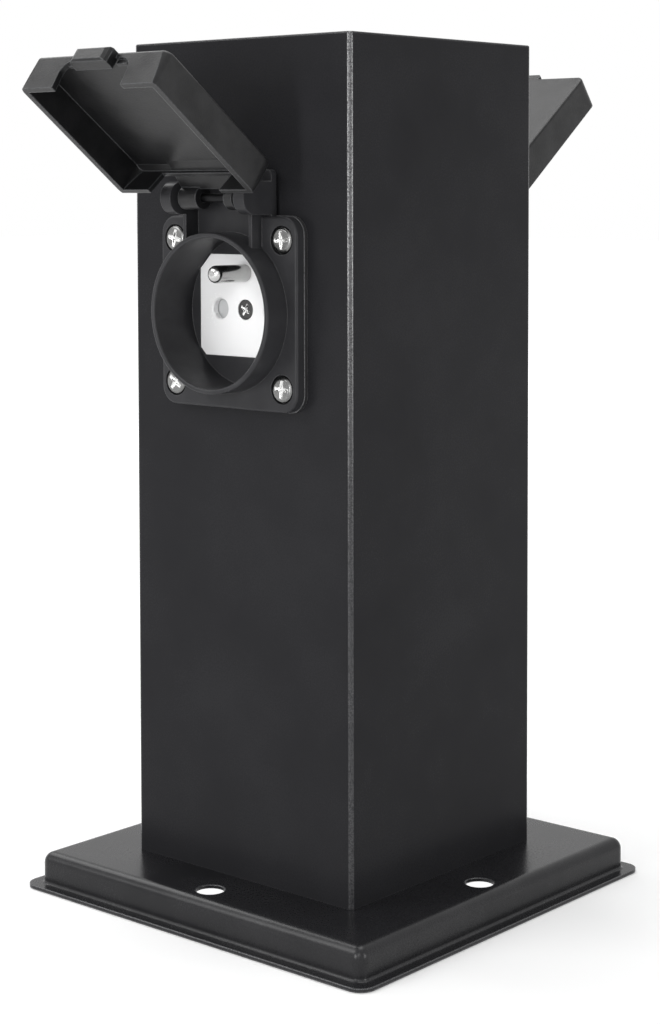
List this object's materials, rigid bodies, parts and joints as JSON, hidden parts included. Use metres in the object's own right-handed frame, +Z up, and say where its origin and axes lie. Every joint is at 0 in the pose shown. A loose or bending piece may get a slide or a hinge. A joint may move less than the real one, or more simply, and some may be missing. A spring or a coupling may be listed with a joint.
{
  "type": "garden socket post",
  "caption": "Square sheet-metal garden post on a pressed tray, with a hinged-lid earth-pin power socket on its front and rear faces.",
  "frame": {"origin": "centre of the footprint, on the ground", "axes": "+Z up along the post; the front socket faces -Y and the rear socket +Y; +X is the post's right side seen from the front"},
  "size_m": [0.127, 0.1906, 0.24],
  "materials": {
    "powder_coat": "satin fine-textured black coating",
    "black_plastic": "fine matt texture",
    "charcoal_plastic": "fine matt texture",
    "dark_plastic": "plain moulded",
    "rubber": "plain",
    "white_plastic": "smooth moulded",
    "grey_plastic": "smooth moulded",
    "cream_plastic": "smooth moulded",
    "zinc_steel": "zinc plated",
    "bright_steel": "drawn",
    "black_steel": "blackened",
    "nickel": "nickel plated",
    "brass": "machined",
    "tinned_copper": "tinned",
    "brown_wire": "insulation",
    "blue_wire": "insulation",
    "green_yellow_wire": "insulation, green with a yellow stripe"
  },
  "bodies": {
    "post": {"post_shell": "powder_coat", "top_cap": "powder_coat", "base_tray": "powder_coat", "foot_screws": "zinc_steel", "foot_nuts": "zinc_steel", "cable_gland": "dark_plastic", "gland_seal": "rubber", "gland_locknut": "dark_plastic", "terminal_bracket": "zinc_steel", "bracket_screws": "zinc_steel", "bracket_nuts": "zinc_steel", "terminal_block": "cream_plastic", "pole_inserts": "brass", "pole_screws": "zinc_steel", "block_screws": "zinc_steel", "block_nuts": "zinc_steel", "earth_stud": "zinc_steel", "earth_nut": "zinc_steel", "earth_bond_wire": "green_yellow_wire", "earth_lug": "tinned_copper", "front_gasket": "rubber", "front_socket_frame": "black_plastic", "front_hinge_pin": "black_steel", "front_insert": "white_plastic", "front_shutter_spring": "bright_steel", "front_contact_base": "grey_plastic", "front_left_contact": "brass", "front_right_contact": "brass", "front_earth_pin": "nickel", "front_terminal_screws": "zinc_steel", "front_centre_screw": "nickel", "front_frame_screws": "nickel", "front_frame_nuts": "zinc_steel", "front_live_wire": "brown_wire", "front_earth_wire": "green_yellow_wire", "front_neutral_wire": "blue_wire", "rear_gasket": "rubber", "rear_socket_frame": "black_plastic", "rear_hinge_pin": "black_steel", "rear_insert": "white_plastic", "rear_shutter_spring": "bright_steel", "rear_contact_base": "grey_plastic", "rear_left_contact": "brass", "rear_right_contact": "brass", "rear_earth_pin": "nickel", "rear_terminal_screws": "zinc_steel", "rear_centre_screw": "nickel", "rear_frame_screws": "nickel", "rear_frame_nuts": "zinc_steel", "rear_live_wire": "brown_wire", "rear_earth_wire": "green_yellow_wire", "rear_neutral_wire": "blue_wire"},
    "front_lid": {"front_lid": "charcoal_plastic"},
    "front_shutter": {"front_shutter": "grey_plastic"},
    "rear_lid": {"rear_lid": "charcoal_plastic"},
    "rear_shutter": {"rear_shutter": "grey_plastic"}
  },
  "joints": [
    {"name": "front_lid_hinge", "type": "hinge", "parent": "post", "child": "front_lid", "pos_m": [0, -0.0498, 0.197], "axis": [1, 0, 0], "range_deg": [0, 127.15]},
    {"name": "rear_lid_hinge", "type": "hinge", "parent": "post", "child": "rear_lid", "pos_m": [0, 0.0498, 0.197], "axis": [-1, 0, 0], "range_deg": [0, 127.15]},
    {"name": "front_shutter_turn", "type": "hinge", "parent": "post", "child": "front_shutter", "pos_m": [0, -0.0338, 0.1665], "axis": [0, -1, 0], "range_deg": [0, 40], "stiffness_Nm_per_rad": 0.006, "springref_deg": -28.65, "deforming": ["front_shutter_spring"]},
    {"name": "rear_shutter_turn", "type": "hinge", "parent": "post", "child": "rear_shutter", "pos_m": [0, 0.0338, 0.1665], "axis": [0, 1, 0], "range_deg": [0, 40], "stiffness_Nm_per_rad": 0.006, "springref_deg": -28.65, "deforming": ["rear_shutter_spring"]}
  ]
}
